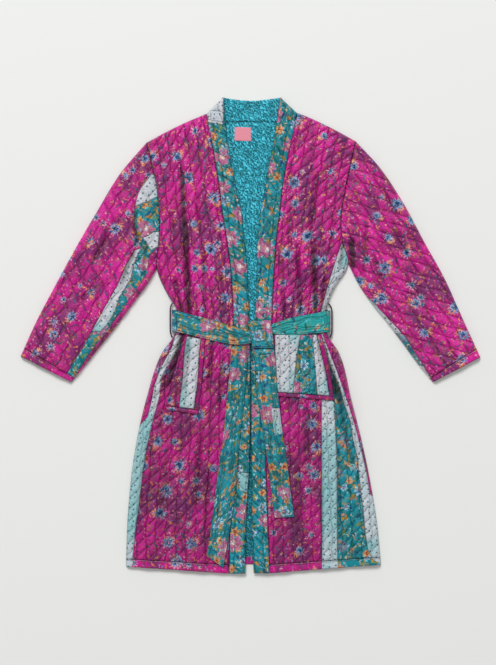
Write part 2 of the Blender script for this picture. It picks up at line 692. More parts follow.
def shell(name, pattern, box, surface, materials, *, rolled=None, slant=0.0, step=None, puff=0.0,
          thick=WALL, fields=None, offset=(0.0, 0.0), seam_round=SEAM_ROUND, turn=0.0, sewn=SIDES):
    """One layer of cloth as a closed thin wall over a grid in U and V.

    Outer z = floor + (cloth bottom + (top - bottom) * seam rounding + puff * quilting - floor) * roll.
    Inner z = floor + (bottom - floor) * roll of the inset distance. surface(plan) gives
    (height of the cloth's bottom, floor under a rolled edge).
    """
    sizes = bpy.context.scene.coat_sizes
    step = step or sizes.step
    rolled = rolled or {}
    fields = fields or {}
    u0, u1, v0, v1 = box
    width_max = pattern.flat(box)[0]
    cols = max(int(round(width_max / step)), 2)
    rows = max(int(round((v1 - v0) / step)), 2)
    across = spread(cols, "left" in rolled, "right" in rolled, width_max)
    down = spread(rows, "bottom" in rolled, "top" in rolled, v1 - v0)

    def layer(inset):
        low = v0 + (inset if "bottom" in rolled else 0.0)
        high = v1 - (inset if "top" in rolled else 0.0)
        v = (low + (high - low) * down)[:, None] * np.ones(len(across))[None, :]
        width = pattern.width(v)
        ratio = pattern.ratio(v)

        def cut(side):
            if side not in rolled:
                return 0.0
            beyond = np.maximum(v - rolled[side][1], rolled[side][0] - v)
            return inset * ratio * (1.0 - ease(np.maximum(beyond, 0.0) / 0.012))

        left = u0 + cut("left")
        right = width - u1 - cut("right")
        u = left + (right - left) * across[None, :]
        return u, v, width, ratio

    def away(side, u, v, width, ratio):
        """Distance in plan to one side of the piece."""
        if side == "left":
            return (u - u0) / ratio * pattern.squareness(0, v)
        if side == "right":
            return (width - u1 - u) / ratio * pattern.squareness(1, v)
        if side == "bottom":
            return v - v0
        return v1 - v

    def heights(u, v, width, ratio, outside):
        plan = pattern.plan(u, v)
        bottom, floor = surface(plan)
        total = np.ones_like(u)
        for side, (low, high) in rolled.items():
            d = away(side, u, v, width, ratio)
            if side in ("left", "right"):
                d = np.hypot(d, np.maximum(np.maximum(v - high, low - v), 0.0))
            if outside:
                total = total * roll(d)
            else:
                total = total * roll(d - thick, EDGE_RADIUS - thick)
        if not outside:
            return plan, floor + (bottom - floor) * total
        edge = np.ones_like(u)
        flat_edge = np.ones_like(u)
        for side in SIDES:
            d = np.maximum(away(side, u, v, width, ratio), 0.0)
            flat_edge = np.minimum(flat_edge, d)
            if side not in rolled:
                edge = edge * (SEAM_SHARE + (1.0 - SEAM_SHARE) * roll(d, seam_round))
        a, b = stitch_lines(u, v - v0, slant)
        swell = puff * quilt_height(a - 0.5, b) * ease(flat_edge / 0.005) if puff else 0.0
        return plan, floor + (bottom + thick * edge + swell - floor) * total

    outer_grid = layer(0.0)
    inner_grid = layer(thick)
    outer_plan, outer_z = heights(*outer_grid, True)
    inner_plan, inner_z = heights(*inner_grid, False)
    count = outer_z.size
    rows_n, cols_n = outer_z.shape
    points = np.concatenate([
        np.concatenate([outer_plan, outer_z[..., None]], -1).reshape(-1, 3),
        np.concatenate([inner_plan, inner_z[..., None]], -1).reshape(-1, 3),
    ])
    top = quads(rows_n, cols_n)
    index = np.arange(count).reshape(rows_n, cols_n)
    ring = np.concatenate([index[0, :-1], index[:-1, -1], index[-1, :0:-1], index[:0:-1, 0]])
    after = np.roll(ring, -1)
    rim = np.stack([ring, ring + count, after + count, after], 1)
    faces = np.concatenate([top, top[:, ::-1] + count, rim])
    slots = np.concatenate([np.zeros(len(top)), np.ones(len(top)), np.zeros(len(rim))])
    slots = np.minimum(slots, len(materials) - 1)
    u = np.concatenate([outer_grid[0].ravel(), inner_grid[0].ravel()])
    v = np.concatenate([outer_grid[1].ravel(), inner_grid[1].ravel()])
    cloth = np.stack([u * math.cos(turn) - v * math.sin(turn) + offset[0],
                      u * math.sin(turn) + v * math.cos(turn) + offset[1]], 1)
    quilt = np.stack(stitch_lines(u, v - v0, slant), 1)
    plan = points[:, :2]
    values = {field: make(plan) for field, make in {**PLAIN, **fields}.items()}
    width = pattern.width(outer_grid[1])
    sides = {"left": outer_grid[0] - u0, "right": width - u1 - outer_grid[0],
             "bottom": outer_grid[1] - v0, "top": v1 - outer_grid[1]}
    for field, wanted in (("edge", SIDES), ("sewn", sewn)):
        values[field] = np.tile(np.minimum.reduce([sides[side] for side in wanted]).ravel(), 2)
    return put_mesh(name, points, faces, cloth[faces], quilt[faces], slots, materials, values)


def aqua_share(points):
    """How aqua the dotted silk is: on the skirt's side strips, less on the outer right one."""
    x, y = points[..., 0], points[..., 1]
    skirt = ease((-0.17 - y) / 0.06) * (0.4 + 0.6 * ease((y + 0.47) / 0.05))
    return skirt * (0.30 + 0.70 * ease((0.200 - x) / 0.01))


def skirt_depth(points):
    """How deep the magenta is: below the belt, sleeves and cuffs left out."""
    return ease((-0.02 - points[..., 1]) / 0.08) * ease((0.30 - np.abs(points[..., 0])) / 0.01)


def nowhere(points):
    return np.full(points.shape[:-1], -NO_PATCH)


def none(points):
    return np.zeros(points.shape[:-1])


# Values that a piece's materials read at its points, unless the piece gives its own
PLAIN = {
    "pale": nowhere,
    "floral": nowhere,
    "hollow": none,
    "deep": skirt_depth,
    "aqua": aqua_share,
    "rose": lambda points: 1.0 - 0.7 * ease((points[..., 0] - 0.14) / 0.01) * (points[..., 1] < 0.0),
}
UNDYED = {"deep": none}


def tube(name, pattern, box, top_surface, materials, *, slant=0.0, puff=0.0, fields=None,
         offset=(0.0, 0.0)):
    """A flattened tube, open at both ends.

    Upper layer: z = (top + puff * quilting) * roll of the distance to the long edges; lower layer on the
    surface, its edges rounded up; the inner wall follows inside. Print and stitches lie square to the
    tube's axis, the lower layer's turned over at the second edge.
    """
    step = bpy.context.scene.coat_sizes.step
    v0, v1 = box[2:]
    width_max = pattern.flat(box)[0]
    rows = max(int(round((v1 - v0) / step)), 2)
    across = spread(max(int(round(width_max / step)), 4), True, True, width_max)
    below = spread(max(int(round(width_max / (3.0 * step))), 4), True, True, width_max)
    around = np.concatenate([across, 2.0 - below[::-1][1:]])
    upper = around <= 1.0
    start = (pattern.first[0] + pattern.second[0]) / 2.0
    axis = (pattern.first[-1] + pattern.second[-1]) / 2.0 - start
    axis = axis / np.hypot(*axis)
    square = np.array([-axis[1], axis[0]])
    square = square * np.sign((pattern.second[-1] - pattern.first[-1]) @ square)

    def layer(rows, inset, outside):
        v = np.linspace(v0, v1, rows + 1)[:, None] * np.ones(len(around))[None, :]
        width = pattern.width(v)
        place = np.where(upper, around, 2.0 - around)[None, :]
        u = inset + (width - 2.0 * inset) * place
        plan = pattern.plan(u, v)
        left = u * pattern.squareness(0, v)
        right = (width - u) * pattern.squareness(1, v)
        d = np.minimum(left, right)
        top = top_surface(plan)
        flat_u = (plan - start) @ square
        flat_v = (plan - start) @ axis
        if outside:
            a, b = stitch_lines(flat_u, flat_v, slant, SLEEVE_WIDE)
            ends = np.minimum(v - v0, v1 - v)
            swell = puff * quilt_height(a - 0.5, b) * ease(ends / 0.005) if puff else 0.0
            seam = SEAM_SHARE + (1.0 - SEAM_SHARE) * roll(ends, SEAM_ROUND)
            z = np.where(upper[None, :], (top - WALL * (1.0 - seam) + swell) * roll(left) * roll(right), 0.0)
            z = np.where(upper[None, :], np.maximum(z, 0.0), z)
        else:
            share = roll(d - inset, EDGE_RADIUS - inset)
            z = np.where(upper[None, :], WALL + (top - 2.0 * WALL) * share, WALL)
        far = (pattern.plan(width, v) - start) @ square
        flat_u = np.where(upper[None, :], flat_u, 2.0 * far - flat_u)
        return np.concatenate([plan, z[..., None]], -1), np.stack([flat_u, flat_v], -1), v

    outer, outer_uv, outer_v = layer(rows, 0.0, True)
    inner, inner_uv, inner_v = layer(max(rows // 4, 1), SLEEVE_INSET, False)
    count_k = len(around) - 1

    def weld(grid, first):
        """Corner numbers of a grid whose last column is its first."""
        rows_n = grid.shape[0]
        index = first + np.arange(rows_n * count_k).reshape(rows_n, count_k)
        return np.concatenate([index, index[:, :1]], 1)

    outer_index = weld(outer, 0)
    inner_index = weld(inner, outer.shape[0] * count_k)
    points = np.concatenate([outer[:, :-1].reshape(-1, 3), inner[:, :-1].reshape(-1, 3)])

    def grid_faces(index, uv):
        corners = (slice(None, -1), slice(None, -1)), (slice(None, -1), slice(1, None)), \
            (slice(1, None), slice(1, None)), (slice(1, None), slice(None, -1))
        faces = np.stack([index[c] for c in corners], -1).reshape(-1, 4)
        maps = np.stack([uv[c] for c in corners], -2).reshape(-1, 4, 2)
        return faces, maps

    faces_out, uv_out = grid_faces(outer_index, outer_uv)
    faces_in, uv_in = grid_faces(inner_index, inner_uv)

    def rim(out, into):
        """One value for each corner of the quads between the ends of the outer and inner walls."""
        return np.stack([out[1:], out[:-1], into[:-1], into[1:]], 1)

    rim_start = rim(outer_index[0], inner_index[0])
    rim_end = rim(outer_index[-1, ::-1], inner_index[-1, ::-1])[::-1]
    uv_start = rim(outer_uv[0], inner_uv[0])
    uv_end = rim(outer_uv[-1, ::-1], inner_uv[-1, ::-1])[::-1]
    faces = np.concatenate([faces_out, faces_in[:, ::-1], rim_start, rim_end])
    uv = np.concatenate([uv_out, uv_in[:, ::-1], uv_start, uv_end])
    slots = np.concatenate([np.zeros(len(faces_out)), np.ones(len(faces_in)),
                            np.zeros(len(rim_start) + len(rim_end))])
    slots = np.minimum(slots, len(materials) - 1)
    quilt = np.stack(stitch_lines(uv[..., 0], uv[..., 1], slant, SLEEVE_WIDE), -1)
    values = {field: make(points[:, :2]) for field, make in {**PLAIN, **(fields or {})}.items()}
    values["edge"] = np.concatenate([np.minimum(outer_v - v0, v1 - outer_v)[:, :-1].ravel(),
                                     np.minimum(inner_v - v0, v1 - inner_v)[:, :-1].ravel()])
    values["sewn"] = np.concatenate([(outer_v - v0)[:, :-1].ravel(), (inner_v - v0)[:, :-1].ravel()])
    return put_mesh(name, points, faces, uv + np.array(offset), quilt, slots, materials, values)


def patterns():
    """All pattern pieces of the coat, by name."""
    band_left = pattern_from_rows(BAND_LEFT)
    band_right = pattern_from_rows(BAND_RIGHT)
    front_left = front_pattern(FRONT_LEFT, band_left, -1.0)
    front_right = front_pattern(FRONT_RIGHT, band_right, 1.0)
    made = {
        "band_left": band_left,
        "band_right": band_right,
        "front_left": front_left,
        "front_right": front_right,
        "back": back_pattern(front_left, front_right),
        "sleeve_left": sleeve_pattern(SLEEVE_LEFT, front_left, -1.0),
        "sleeve_right": sleeve_pattern(SLEEVE_RIGHT, front_right, 1.0),
    }
    tables = {
        "neck": NECK_BAND, "pocket_left": POCKET_LEFT, "pocket_right": POCKET_RIGHT,
        "belt_left": BELT_LEFT, "belt_right": BELT_RIGHT, "knot": KNOT,
        "tail_left": TAIL_LEFT, "tail_right": TAIL_RIGHT, "label": LABEL,
    }
    made.update({name: pattern_from_rows(rows) for name, rows in tables.items()})
    return made


PIECES = patterns()


def relief(panel, points, cut=True):
    """Folds, creases and slow unevenness of a panel, held above its lying height by a soft maximum."""
    sizes = bpy.context.scene.coat_sizes
    seed = {"front_left": 1.0, "front_right": 4.0, "sleeve_left": 7.0, "sleeve_right": 9.0}[panel]
    total = ridges(FOLDS, panel, points) + sizes.waver * (0.35 + waver(points, seed))
    if cut:
        total = total + ridges(CREASES, panel, points)
        total = total + 0.0022 * (waver(points * 2.7, seed + 3.0) - 0.5)
    return np.sqrt(total * total + 4e-7) * 0.5 + total * 0.5


def ground(points):
    """Top of the fronts and bands, bridging their creases and clear of the quilting."""
    sides = [relief("front_" + side, points, cut=False) for side in ("left", "right")]
    return lift(points) + LAYER + np.where(points[..., 0] < 0.0, *sides) + 0.0004


def linked(piece, *nodes, slot):
    """Seat a finished piece: it rides on the one body and stands for its CAD nodes."""
    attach(piece, "root")
    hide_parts(*nodes)
    return piece


def seated(piece, node, slot, pattern, box, held="laid", **more):
    """Seat a finished sheet of cloth and declare its flat size and area."""
    linked(piece, node, slot=slot)
    pattern.flat(box)
    pattern.area(box)


def add(tree, kind, inputs=None, out=0, **settings):
    """Add a node with its settings and its linked or plain inputs; returns an output, or the node."""
    node = tree.nodes.new("ShaderNode" + kind)
    for key, value in settings.items():
        setattr(node, key, value)
    for key, value in (inputs or {}).items():
        if isinstance(value, bpy.types.NodeSocket):
            tree.links.new(value, node.inputs[key])
        else:
            node.inputs[key].default_value = value
    return node if out is None else node.outputs[out]


def calc(tree, operation, *values, **settings):
    """A number worked out from one, two or three values."""
    return add(tree, "Math", dict(enumerate(values)), operation=operation, **settings)


def span(tree, value, low=0.0, high=1.0, at_low=0.0, at_high=1.0, **settings):
    """The value's range from low to high mapped onto at_low to at_high, and held beyond both."""
    return add(tree, "MapRange", {0: value, 1: low, 2: high, 3: at_low, 4: at_high}, **settings)


def stored(tree, field):
    """A value kept on the mesh's points."""
    return add(tree, "Attribute", out="Fac", attribute_name=field)


def cloudy(tree, place, scale, detail, rough=0.5, out=0):
    """Noise in the plane of the cloth."""
    return add(tree, "TexNoise", {"Vector": place, "Scale": scale, "Detail": detail, "Roughness": rough},
               out=out, noise_dimensions="2D")


def streaky(tree, place, across, along, detail, rough=0.5):
    """Noise drawn out one way: its counts a millimetre across and along the cloth."""
    drawn = add(tree, "Mapping", {"Vector": place, "Scale": (across, along, 1.0)}, vector_type="POINT")
    return cloudy(tree, drawn, 1.0, detail, rough)


def mixed(tree, share, first, second):
    """The second colour's share in the first."""
    return add(tree, "Mix", {"Factor": share, "A": first, "B": second}, out=2, data_type="RGBA")


def shaded(tree, colour, shade):
    """A colour times a shade."""
    return add(tree, "Mix", {"Factor": 1.0, "A": colour, "B": shade}, out=2, data_type="RGBA",
               blend_type="MULTIPLY")


def new_material(name, roughness, sheen, sheen_tint):
    """A cloth material with its shader's plain values set on their own sockets."""
    material = bpy.data.materials.new(name)
    material.use_nodes = True
    tree = material.node_tree
    tree.nodes.clear()
    shader = add(tree, "BsdfPrincipled", {"Roughness": roughness, "Sheen Weight": sheen,
                                          "Sheen Roughness": 0.35, "Sheen Tint": sheen_tint,
                                          "IOR": 1.5, "Specular IOR Level": 0.34, "Metallic": 0.0}, out=None)
    add(tree, "OutputMaterial", {"Surface": shader.outputs[0]}, out=None)
    return material, tree, shader


def layer_frame(tree, place, spacing, random, shift=0.0):
    """One random cell for each motif: the place from its centre, turned by chance, and the cell's chances.

    The centre may be shifted, in the motif's own turned direction.
    """
    cell = add(tree, "TexVoronoi", {"Vector": place, "Scale": 1.0 / spacing, "Randomness": random},
               out=None, voronoi_dimensions="2D")
    local = add(tree, "VectorMath", {0: place, 1: cell.outputs["Position"]}, operation="SUBTRACT")
    chance = add(tree, "SeparateColor", {0: cell.outputs["Color"]}, out=None)
    turn = calc(tree, "MULTIPLY", chance.outputs[0], 6.283)
    local = add(tree, "VectorRotate", {"Vector": local, "Angle": turn}, rotation_type="Z_AXIS")
    local = add(tree, "VectorMath", {0: local, 1: (shift, 0.0, 0.0)}, operation="SUBTRACT")
    return local, chance


def blossoms(tree, place, spacing, radius, petals, share, colours, *, shape=0.5, sharp=1.0, shift=0.0,
             mottle=0.7):
    """Scattered flowers: edge r(angle) = radius * (1 - shape + shape * |cos(petals * angle / 2)|^sharp).

    place is in millimetres; returns the mask and the colour, which runs from heart to petal tip and is
    mottled by a noise of the given weight.
    """
    local, chance = layer_frame(tree, place, spacing, 0.85, shift)
    axes = add(tree, "SeparateXYZ", {0: local}, out=None)
    distance = add(tree, "VectorMath", {0: local}, out="Value", operation="LENGTH")
    angle = calc(tree, "ARCTAN2", axes.outputs[1], axes.outputs[0])
    wave = calc(tree, "MULTIPLY", angle, petals / 2.0)
    lobe = calc(tree, "POWER", calc(tree, "ABSOLUTE", calc(tree, "COSINE", wave)), sharp)
    size = calc(tree, "MULTIPLY_ADD", chance.outputs[2], 0.6 * radius, 0.7 * radius)
    reach = calc(tree, "MULTIPLY_ADD", lobe, shape, 1.0 - shape)
    inside = calc(tree, "SUBTRACT", calc(tree, "MULTIPLY", reach, size), distance)
    mask = calc(tree, "MULTIPLY_ADD", inside, 1.0, 0.5, use_clamp=True)
    mask = calc(tree, "MULTIPLY", mask, calc(tree, "LESS_THAN", chance.outputs[1], share))
    relative = calc(tree, "DIVIDE", distance, size)
    relative = calc(tree, "MULTIPLY_ADD", cloudy(tree, place, 0.45, 2.0), mottle, relative)
    relative = calc(tree, "SUBTRACT", relative, 0.5 * mottle)
    ramp = add(tree, "ValToRGB", {0: relative}, out=None)
    elements = ramp.color_ramp.elements
    while len(elements) < len(colours):
        elements.new(0.5)
    for element, (at, text) in zip(elements, colours):
        element.position = at
        element.color = srgb(text)
    return mask, ramp.outputs[0]


def leaves(tree, place, spacing, length, share, colours, *, wide=0.30):
    """Scattered leaves or dashes: |y| < wide * length * (1 - (x / length)^2) in each cell's turned frame."""
    local, chance = layer_frame(tree, place, spacing, 1.0)
    axes = add(tree, "SeparateXYZ", {0: local}, out=None)
    along = calc(tree, "MULTIPLY", axes.outputs[0], 1.0 / length)
    curve = calc(tree, "MULTIPLY", along, along)
    edge = calc(tree, "MULTIPLY_ADD", curve, -wide * length, wide * length)
    inside = calc(tree, "SUBTRACT", edge, calc(tree, "ABSOLUTE", axes.outputs[1]))
    mask = calc(tree, "MULTIPLY_ADD", inside, 1.3, 0.4, use_clamp=True)
    mask = calc(tree, "MULTIPLY", mask, calc(tree, "LESS_THAN", chance.outputs[1], share))
    return mask, mixed(tree, chance.outputs[2], srgb(colours[0]), srgb(colours[1]))


def stems(tree, place, scale, width, text):
    """Thin stems along the middle contour of a slow noise."""
    line = calc(tree, "ABSOLUTE", calc(tree, "SUBTRACT", cloudy(tree, place, scale, 1.5), 0.5))
    return span(tree, line, width * 0.35, width, 0.85, 0.0), srgb(text)


def laid_over(tree, below, layers):
    """Paint layers of (mask, colour) over a ground colour, first to last."""
    for mask, colour in layers:
        below = mixed(tree, mask, below, colour)
    return below


def cloth_place(tree):
    """The cloth's flat coordinates in millimetres, and the same warped as a hand print is."""
    uv = add(tree, "UVMap", out=0, uv_map="cloth")
    place = add(tree, "VectorMath", {0: uv, "Scale": MM}, operation="SCALE")
    wobble = cloudy(tree, place, 0.14, 4.0, 0.66, out="Color")
    wobble = add(tree, "VectorMath", {0: wobble, 1: (0.5, 0.5, 0.5)}, operation="SUBTRACT")
    wobble = add(tree, "VectorMath", {0: wobble, "Scale": WARP}, operation="SCALE")
    return place, add(tree, "VectorMath", {0: place, 1: wobble}, operation="ADD")


def moved(tree, place, x, y):
    return add(tree, "VectorMath", {0: place, 1: (x, y, 0.0)}, operation="ADD")


def print_magenta(tree, warped, colours):
    """Magenta ground clouded with purple and bright pink, deeper on the skirt (attribute "deep").

    On it round blue and white flowers with strokes of orange beside them, buds, leaves and dashes.
    """
    cloud = streaky(tree, warped, 0.021, 0.010, 4.0)
    slub = streaky(tree, warped, 0.30, 0.028, 3.0)
    blend = calc(tree, "MULTIPLY_ADD", slub, 0.5, cloud)
    light = span(tree, blend, 0.72, 0.58)
    colour = mixed(tree, span(tree, blend, 0.72, 0.86), colours.magenta, colours.purple)
    colour = mixed(tree, light, colour, colours.bright)
    small = moved(tree, warped, 130.0, 41.0)
    blue = [(0.0, "#12245A"), (0.30, "#1D4A8E"), (0.50, "#3F86A8"), (0.66, "#C9D5EA"), (0.82, "#7C78C0"),
            (1.0, "#3A2E86")]
    rays = [(0.0, "#FFEADC"), (0.5, "#EBB4C4"), (1.0, "#E0749A")]
    strokes = [(0.0, "#F8E2B4"), (0.5, "#F2A85E"), (1.0, "#E2563C")]
    colour = laid_over(tree, colour, [
        stems(tree, warped, 0.034, 0.010, "#A5673F"),
        leaves(tree, moved(tree, warped, 511.0, 27.0), 19.0, 9.0, 0.40, ("#6B2468", "#4C5E7C"), wide=0.22),
        blossoms(tree, warped, 54.0, 10.0, 9, 0.50, strokes, shape=0.9, sharp=2.2, shift=11.0),
        blossoms(tree, warped, 54.0, 15.0, 11, 0.50, rays, shape=0.92, sharp=3.2),
        blossoms(tree, warped, 54.0, 11.5, 6, 0.50, blue, shape=0.42, sharp=0.9, mottle=1.7),
        blossoms(tree, small, 47.0, 11.5, 9, 0.34, rays, shape=0.9, sharp=3.0),
        blossoms(tree, small, 47.0, 7.0, 5, 0.34, blue, shape=0.4, mottle=1.6),
        leaves(tree, moved(tree, warped, 311.0, 97.0), 24.0, 6.5, 0.40, ("#E9A35C", "#DF4A38"), wide=0.22),
        leaves(tree, moved(tree, warped, 77.0, 213.0), 10.0, 2.9, 0.46, ("#F0B9A0", "#E9566A"), wide=0.34),
        leaves(tree, moved(tree, warped, 19.0, 61.0), 13.0, 3.0, 0.26, ("#C0A0D0", "#7A6FC0"), wide=0.34),
        leaves(tree, moved(tree, warped, 219.0, 161.0), 9.0, 3.0, 0.40, ("#6E1450", "#96164E"), wide=0.34),
    ])
    return shaded(tree, colour, span(tree, stored(tree, "deep"), at_low=1.0, at_high=0.78))


def print_teal(tree, place, warped, colours):
    """Teal ground with rose peonies, blue, orange and white flowers, green and ochre leaves on stems.

    Where the attribute "rose" is low the teal is brighter and the warm motifs are fewer, in patches.
    """
    wanted = stored(tree, "rose")
    patchy = calc(tree, "MULTIPLY_ADD", wanted, 0.6, cloudy(tree, place, 0.035, 1.0))
    fewer = span(tree, patchy, 0.55, 0.61, 0.10, 1.0)

    def thinned(layer, share):
        return calc(tree, "MULTIPLY", layer[0], share), layer[1]

    rose = [(0.0, "#F4EEE2"), (0.20, "#DDBCC8"), (0.40, "#A2346C"), (0.60, "#CF7CA4"), (0.80, "#A4407A"),
            (1.0, "#D8A4BC")]
    orange = [(0.0, "#7A2F2A"), (0.32, "#C8643A"), (0.62, "#EFB878"), (1.0, "#8E6A34")]
    blue = [(0.0, "#E59A4E"), (0.24, "#174A90"), (0.5, "#2FA0C6"), (0.74, "#E4F2F4"), (1.0, "#4E93D0")]
    cloud = span(tree, cloudy(tree, warped, 0.028, 4.0), 0.36, 0.64)
    colour = mixed(tree, cloud, colours.teal, srgb("#007880"))
    colour = mixed(tree, span(tree, wanted, 0.0, 0.2, 0.8, 0.0), colour, srgb("#00ACAA"))
    return laid_over(tree, colour, [
        thinned(stems(tree, warped, 0.045, 0.016, "#A8914A"), fewer),
        leaves(tree, moved(tree, warped, 40.0, 11.0), 20.0, 10.0, 0.60, ("#0B6A5A", "#0A5A8C")),
        thinned(leaves(tree, moved(tree, warped, 211.0, 57.0), 21.0, 9.0, 0.50, ("#C08A3A", "#5F8A4A"),
                       wide=0.32), fewer),
        blossoms(tree, moved(tree, warped, 9.0, 183.0), 50.0, 11.5, 7, 0.48, blue, shape=0.55, sharp=1.1,
                 mottle=1.5),
        thinned(blossoms(tree, moved(tree, warped, 90.0, 31.0), 38.0, 9.5, 6, 0.50, orange, shape=0.55,
                         sharp=1.1, mottle=1.3), fewer),
        thinned(blossoms(tree, warped, 60.0, 17.0, 7, 0.55, rose, shape=0.40, mottle=1.1), wanted),
        thinned(leaves(tree, moved(tree, warped, 17.0, 83.0), 12.0, 4.2, 0.34, ("#EADFB4", "#C8553C"),
                       wide=0.32), fewer),
        leaves(tree, moved(tree, warped, 150.0, 9.0), 12.0, 4.2, 0.46, ("#8FDCE6", "#22B4CC")),
    ])


def print_pale(tree, place, warped, colours):
    """Pale silk, clouded from grey-white to aqua, with a small dark teal dot about every 13 mm."""
    blend = span(tree, streaky(tree, place, 0.016, 0.008, 2.0), 0.30, 0.48)
    plain = span(tree, stored(tree, "aqua"), at_low=1.0, at_high=0.15)
    colour = mixed(tree, calc(tree, "MULTIPLY", blend, plain), srgb("#8FC4C8"), colours.pale)
    cell = add(tree, "TexVoronoi", {"Vector": place, "Scale": 1.0 / 13.0, "Randomness": 0.5}, out=None,
               voronoi_dimensions="2D")
    local = add(tree, "VectorMath", {0: place, 1: cell.outputs["Position"]}, operation="SUBTRACT")
    distance = add(tree, "VectorMath", {0: local}, out="Value", operation="LENGTH")
    dots = span(tree, distance, 1.3, 2.4, 0.95, 0.0)
    specks = leaves(tree, moved(tree, warped, 61.0, 19.0), 19.0, 3.0, 0.25, ("#B9A77A", "#9AB6C4"))
    return laid_over(tree, colour, [specks, (dots, srgb("#1E5670"))])


def groove(tree, distance, dark, reach=2.2, shade_from=0.2, shade_to=1.5):
    """A stitched groove at a distance in millimetres: its height from 0 to 1, its shade from dark to 1."""
    return (span(tree, distance, 0.0, reach, interpolation_type="SMOOTHSTEP"),
            span(tree, distance, shade_from, shade_to, dark, 1.0))


def stitching(tree):
    """Height and shade of the quilting's stitch lines, read from the quilting UV map.

    Each family of lines is a smooth groove of the distance to the nearest line; the crossing family is
    shallower. Both are 1 away from the lines.
    """
    sizes = bpy.context.scene.coat_sizes
    uv = add(tree, "UVMap", out=0, uv_map="quilt")
    axes = add(tree, "SeparateXYZ", {0: uv}, out=None)
    made = []
    for axis, start, spacing, dark in ((0, 0.5, sizes.across, 0.62), (1, 0.0, 0.7 * sizes.along, 0.70)):
        at = calc(tree, "PINGPONG", calc(tree, "ADD", axes.outputs[axis], start), 0.5)
        made.append(groove(tree, calc(tree, "MULTIPLY", at, spacing * MM), dark))
    return [calc(tree, "MULTIPLY", *both) for both in zip(*made)]


def seam_shade(tree, height, shade, fields):
    """Sink the surface along the seams between patches, where a field's signed distance is 0."""
    for name in fields:
        distance = calc(tree, "MULTIPLY", calc(tree, "ABSOLUTE", stored(tree, name)), MM)
        sunk, dark = groove(tree, distance, 0.6)
        height = calc(tree, "MULTIPLY", height, sunk)
        shade = calc(tree, "MULTIPLY", shade, dark)
    return height, shade


def soften_on_pale(tree, shade):
    """Stitch shading shows less on the pale silk."""
    share = span(tree, stored(tree, "pale"), -PATCH_EDGE, 3.0 * PATCH_EDGE, 0.0, 0.60)
    return add(tree, "Mix", {"Factor": share, "A": shade, "B": 1.0}, out=0, data_type="FLOAT")


def sewn_row(tree, inset, dark, reach):
    """Height and shade beside a row of machine stitches, its inset from the sewn edge in millimetres."""
    away = calc(tree, "MULTIPLY_ADD", stored(tree, "sewn"), MM, -inset)
    return groove(tree, calc(tree, "ABSOLUTE", away), dark, reach, 0.1, 0.9)


def dress(tree, shader, colour, height, depth):
    """Join a colour and a raised surface, its depth in metres, to the shader."""
    tree.links.new(colour, shader.inputs["Base Color"])
    normal = add(tree, "Bump", {"Height": height, "Strength": 1.0, "Distance": depth})
    tree.links.new(normal, shader.inputs["Normal"])


def finish_cloth(tree, shader, colour, height, shade, place, *, crinkle=1.1, bump=0.0015):
    """Join print, stitch shading, hollows and the crinkled silk surface to the shader."""
    crumple = streaky(tree, place, 0.17, 0.30, 5.0, 0.6)
    rim = calc(tree, "MULTIPLY", stored(tree, "edge"), MM)
    for factor in (span(tree, crumple, 0.3, 0.7, 0.80, 1.12), span(tree, rim, 0.0, 1.8, 0.38, 1.0),
                   span(tree, stored(tree, "hollow"), at_low=1.0, at_high=0.20)):
        shade = calc(tree, "MULTIPLY", shade, factor)
    height = calc(tree, "MULTIPLY_ADD", crumple, crinkle, height)
    dress(tree, shader, shaded(tree, colour, shade), height, bump)


def in_patch(tree, cloth):
    """Share of another silk, from its patches' signed distances."""
    return span(tree, stored(tree, cloth), -PATCH_EDGE, PATCH_EDGE)


def patchwork(tree, place, warped, colours):
    """The three printed silks, chosen by the patches' signed distances."""
    return laid_over(tree, print_magenta(tree, warped, colours), [
        (in_patch(tree, "floral"), print_teal(tree, place, warped, colours)),
        (in_patch(tree, "pale"), print_pale(tree, place, warped, colours)),
    ])


